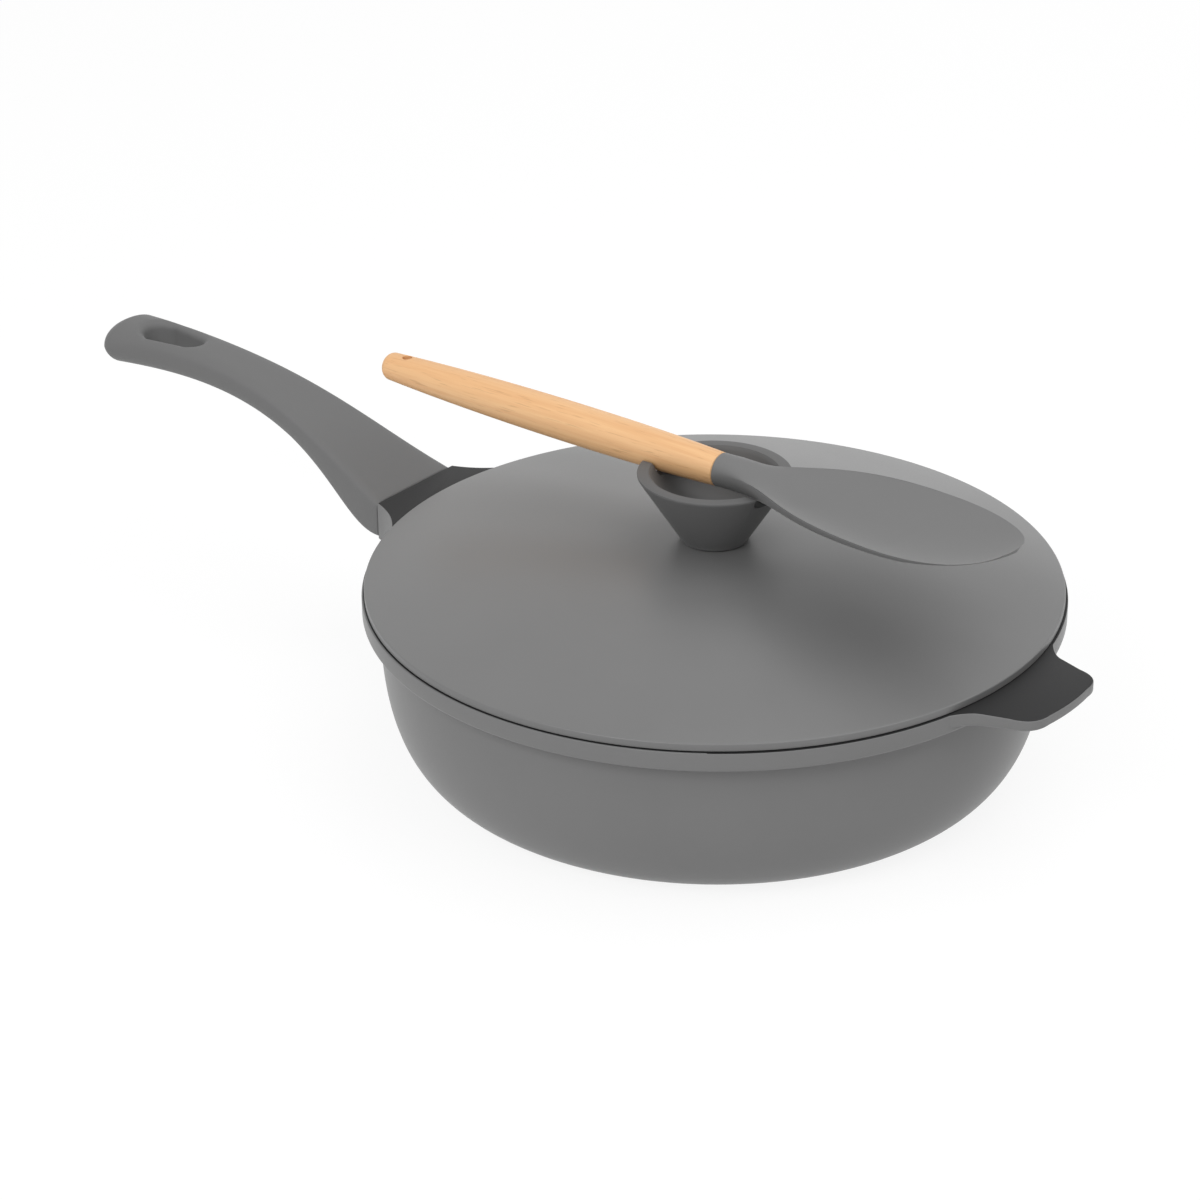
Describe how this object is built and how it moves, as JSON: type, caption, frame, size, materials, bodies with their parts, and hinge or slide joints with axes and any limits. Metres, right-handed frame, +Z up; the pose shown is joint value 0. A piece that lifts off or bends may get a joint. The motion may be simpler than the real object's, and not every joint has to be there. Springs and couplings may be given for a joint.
{
  "type": "braising pan with lid",
  "caption": "Round braising pan with a domed lid, a long handle with a hanging slot, a helper handle and a notched cup-shaped knob that holds a wooden-handled spoon.",
  "frame": {"origin": "middle of the flat base, on the surface the pan stands on", "axes": "+Z up; the long handle points along -X and the helper handle along +X; the spoon lies along X"},
  "size_m": [0.5155, 0.2912, 0.1385],
  "materials": {
    "pan_coating": "satin",
    "lid_coating": "satin",
    "handle_grip": "matte",
    "knob_grip": "matte",
    "steel": "satin",
    "brass": "satin",
    "beech": "satin",
    "silicone": "matte",
    "nylon": "matte"
  },
  "bodies": {
    "pan": {"pan_body": "pan_coating", "long_handle": "handle_grip", "handle_screw": "steel", "handle_spring_washer": "steel"},
    "lid": {"lid_shell": "lid_coating", "lid_knob": "knob_grip", "knob_insert": "brass", "knob_screw": "steel", "knob_washer": "steel", "knob_spring_washer": "steel"},
    "spoon": {"spoon_handle": "beech", "spoon_head": "silicone", "spoon_core": "nylon"}
  },
  "joints": [
    {"name": "lid_lift", "type": "slide", "parent": "pan", "child": "lid", "axis": [0, 0, 1], "range_m": [0, 0.2]},
    {"name": "spoon_lift", "type": "slide", "parent": "lid", "child": "spoon", "axis": [0, 0, 1], "range_m": [0, 0.15]}
  ]
}
